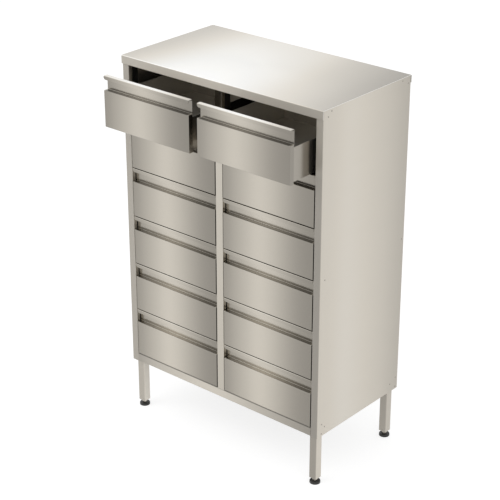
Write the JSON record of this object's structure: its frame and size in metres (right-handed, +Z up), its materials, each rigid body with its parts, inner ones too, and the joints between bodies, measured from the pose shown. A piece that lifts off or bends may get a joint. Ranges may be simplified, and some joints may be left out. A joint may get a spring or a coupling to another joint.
{
  "type": "drawer cabinet",
  "caption": "Free-standing drawer cabinet in brushed stainless steel, with two columns of drawers on full-extension slides, a folded lid and square legs on levelling feet.",
  "frame": {"origin": "on the floor, at the middle of the footprint with the two top drawers open as stored", "axes": "+Z up; -Y towards the person who faces the drawers; +X to that person's right"},
  "size_m": [0.8004, 0.5394, 1.2601],
  "materials": {
    "stainless": "brushed stainless sheet",
    "zinc_steel": "zinc-plated steel",
    "foot_steel": "turned steel",
    "foot_plastic": "black moulded plastic"
  },
  "bodies": {
    "cabinet": {"top_lid": "stainless", "left_side_panel": "stainless", "right_side_panel": "stainless", "back_panel": "stainless", "bottom_panel": "stainless", "centre_mullion": "stainless", "slide_uprights": "zinc_steel", "left_column_rails": "zinc_steel", "right_column_rails": "zinc_steel", "leg_sockets": "zinc_steel", "leg_plugs": "zinc_steel", "side_rivets": "stainless", "front_left_leg": "stainless", "front_right_leg": "stainless", "back_left_leg": "stainless", "back_right_leg": "stainless"},
    "drawer_l1": {"drawer_l1_front": "stainless", "drawer_l1_box": "stainless"},
    "drawer_l1_middle": {"drawer_l1_middles": "zinc_steel"},
    "drawer_l2": {"drawer_l2_front": "stainless", "drawer_l2_box": "stainless"},
    "drawer_l2_middle": {"drawer_l2_middles": "zinc_steel"},
    "drawer_l3": {"drawer_l3_front": "stainless", "drawer_l3_box": "stainless"},
    "drawer_l3_middle": {"drawer_l3_middles": "zinc_steel"},
    "drawer_l4": {"drawer_l4_front": "stainless", "drawer_l4_box": "stainless"},
    "drawer_l4_middle": {"drawer_l4_middles": "zinc_steel"},
    "drawer_l5": {"drawer_l5_front": "stainless", "drawer_l5_box": "stainless"},
    "drawer_l5_middle": {"drawer_l5_middles": "zinc_steel"},
    "drawer_l6": {"drawer_l6_front": "stainless", "drawer_l6_box": "stainless"},
    "drawer_l6_middle": {"drawer_l6_middles": "zinc_steel"},
    "drawer_r1": {"drawer_r1_front": "stainless", "drawer_r1_box": "stainless"},
    "drawer_r1_middle": {"drawer_r1_middles": "zinc_steel"},
    "drawer_r2": {"drawer_r2_front": "stainless", "drawer_r2_box": "stainless"},
    "drawer_r2_middle": {"drawer_r2_middles": "zinc_steel"},
    "drawer_r3": {"drawer_r3_front": "stainless", "drawer_r3_box": "stainless"},
    "drawer_r3_middle": {"drawer_r3_middles": "zinc_steel"},
    "drawer_r4": {"drawer_r4_front": "stainless", "drawer_r4_box": "stainless"},
    "drawer_r4_middle": {"drawer_r4_middles": "zinc_steel"},
    "drawer_r5": {"drawer_r5_front": "stainless", "drawer_r5_box": "stainless"},
    "drawer_r5_middle": {"drawer_r5_middles": "zinc_steel"},
    "drawer_r6": {"drawer_r6_front": "stainless", "drawer_r6_box": "stainless"},
    "drawer_r6_middle": {"drawer_r6_middles": "zinc_steel"},
    "front_left_foot": {"front_left_foot_base": "foot_plastic", "front_left_foot_stem": "foot_steel"},
    "front_right_foot": {"front_right_foot_base": "foot_plastic", "front_right_foot_stem": "foot_steel"},
    "back_left_foot": {"back_left_foot_base": "foot_plastic", "back_left_foot_stem": "foot_steel"},
    "back_right_foot": {"back_right_foot_base": "foot_plastic", "back_right_foot_stem": "foot_steel"}
  },
  "joints": [
    {"name": "drawer_l1_slide", "type": "slide", "parent": "cabinet", "child": "drawer_l1", "axis": [0, -1, 0], "range_m": [-0.112, 0.238]},
    {"name": "drawer_l1_middle_slide", "type": "slide", "parent": "cabinet", "child": "drawer_l1_middle", "axis": [0, -1, 0], "range_m": [-0.056, 0.119]},
    {"name": "drawer_l2_slide", "type": "slide", "parent": "cabinet", "child": "drawer_l2", "axis": [0, -1, 0], "range_m": [0, 0.35]},
    {"name": "drawer_l2_middle_slide", "type": "slide", "parent": "cabinet", "child": "drawer_l2_middle", "axis": [0, -1, 0], "range_m": [0, 0.175]},
    {"name": "drawer_l3_slide", "type": "slide", "parent": "cabinet", "child": "drawer_l3", "axis": [0, -1, 0], "range_m": [0, 0.35]},
    {"name": "drawer_l3_middle_slide", "type": "slide", "parent": "cabinet", "child": "drawer_l3_middle", "axis": [0, -1, 0], "range_m": [0, 0.175]},
    {"name": "drawer_l4_slide", "type": "slide", "parent": "cabinet", "child": "drawer_l4", "axis": [0, -1, 0], "range_m": [0, 0.35]},
    {"name": "drawer_l4_middle_slide", "type": "slide", "parent": "cabinet", "child": "drawer_l4_middle", "axis": [0, -1, 0], "range_m": [0, 0.175]},
    {"name": "drawer_l5_slide", "type": "slide", "parent": "cabinet", "child": "drawer_l5", "axis": [0, -1, 0], "range_m": [0, 0.35]},
    {"name": "drawer_l5_middle_slide", "type": "slide", "parent": "cabinet", "child": "drawer_l5_middle", "axis": [0, -1, 0], "range_m": [0, 0.175]},
    {"name": "drawer_l6_slide", "type": "slide", "parent": "cabinet", "child": "drawer_l6", "axis": [0, -1, 0], "range_m": [0, 0.35]},
    {"name": "drawer_l6_middle_slide", "type": "slide", "parent": "cabinet", "child": "drawer_l6_middle", "axis": [0, -1, 0], "range_m": [0, 0.175]},
    {"name": "drawer_r1_slide", "type": "slide", "parent": "cabinet", "child": "drawer_r1", "axis": [0, -1, 0], "range_m": [-0.112, 0.238]},
    {"name": "drawer_r1_middle_slide", "type": "slide", "parent": "cabinet", "child": "drawer_r1_middle", "axis": [0, -1, 0], "range_m": [-0.056, 0.119]},
    {"name": "drawer_r2_slide", "type": "slide", "parent": "cabinet", "child": "drawer_r2", "axis": [0, -1, 0], "range_m": [0, 0.35]},
    {"name": "drawer_r2_middle_slide", "type": "slide", "parent": "cabinet", "child": "drawer_r2_middle", "axis": [0, -1, 0], "range_m": [0, 0.175]},
    {"name": "drawer_r3_slide", "type": "slide", "parent": "cabinet", "child": "drawer_r3", "axis": [0, -1, 0], "range_m": [0, 0.35]},
    {"name": "drawer_r3_middle_slide", "type": "slide", "parent": "cabinet", "child": "drawer_r3_middle", "axis": [0, -1, 0], "range_m": [0, 0.175]},
    {"name": "drawer_r4_slide", "type": "slide", "parent": "cabinet", "child": "drawer_r4", "axis": [0, -1, 0], "range_m": [0, 0.35]},
    {"name": "drawer_r4_middle_slide", "type": "slide", "parent": "cabinet", "child": "drawer_r4_middle", "axis": [0, -1, 0], "range_m": [0, 0.175]},
    {"name": "drawer_r5_slide", "type": "slide", "parent": "cabinet", "child": "drawer_r5", "axis": [0, -1, 0], "range_m": [0, 0.35]},
    {"name": "drawer_r5_middle_slide", "type": "slide", "parent": "cabinet", "child": "drawer_r5_middle", "axis": [0, -1, 0], "range_m": [0, 0.175]},
    {"name": "drawer_r6_slide", "type": "slide", "parent": "cabinet", "child": "drawer_r6", "axis": [0, -1, 0], "range_m": [0, 0.35]},
    {"name": "drawer_r6_middle_slide", "type": "slide", "parent": "cabinet", "child": "drawer_r6_middle", "axis": [0, -1, 0], "range_m": [0, 0.175]},
    {"name": "front_left_foot_thread", "type": "slide", "parent": "cabinet", "child": "front_left_foot", "axis": [0, 0, -1], "range_m": [-0.003, 0.012]},
    {"name": "front_right_foot_thread", "type": "slide", "parent": "cabinet", "child": "front_right_foot", "axis": [0, 0, -1], "range_m": [-0.003, 0.012]},
    {"name": "back_left_foot_thread", "type": "slide", "parent": "cabinet", "child": "back_left_foot", "axis": [0, 0, -1], "range_m": [-0.003, 0.012]},
    {"name": "back_right_foot_thread", "type": "slide", "parent": "cabinet", "child": "back_right_foot", "axis": [0, 0, -1], "range_m": [-0.003, 0.012]}
  ],
  "couplings": [
    {"joint": "drawer_l1_middle_slide", "follows": "drawer_l1_slide", "ratio": 0.5},
    {"joint": "drawer_l2_middle_slide", "follows": "drawer_l2_slide", "ratio": 0.5},
    {"joint": "drawer_l3_middle_slide", "follows": "drawer_l3_slide", "ratio": 0.5},
    {"joint": "drawer_l4_middle_slide", "follows": "drawer_l4_slide", "ratio": 0.5},
    {"joint": "drawer_l5_middle_slide", "follows": "drawer_l5_slide", "ratio": 0.5},
    {"joint": "drawer_l6_middle_slide", "follows": "drawer_l6_slide", "ratio": 0.5},
    {"joint": "drawer_r1_middle_slide", "follows": "drawer_r1_slide", "ratio": 0.5},
    {"joint": "drawer_r2_middle_slide", "follows": "drawer_r2_slide", "ratio": 0.5},
    {"joint": "drawer_r3_middle_slide", "follows": "drawer_r3_slide", "ratio": 0.5},
    {"joint": "drawer_r4_middle_slide", "follows": "drawer_r4_slide", "ratio": 0.5},
    {"joint": "drawer_r5_middle_slide", "follows": "drawer_r5_slide", "ratio": 0.5},
    {"joint": "drawer_r6_middle_slide", "follows": "drawer_r6_slide", "ratio": 0.5}
  ]
}
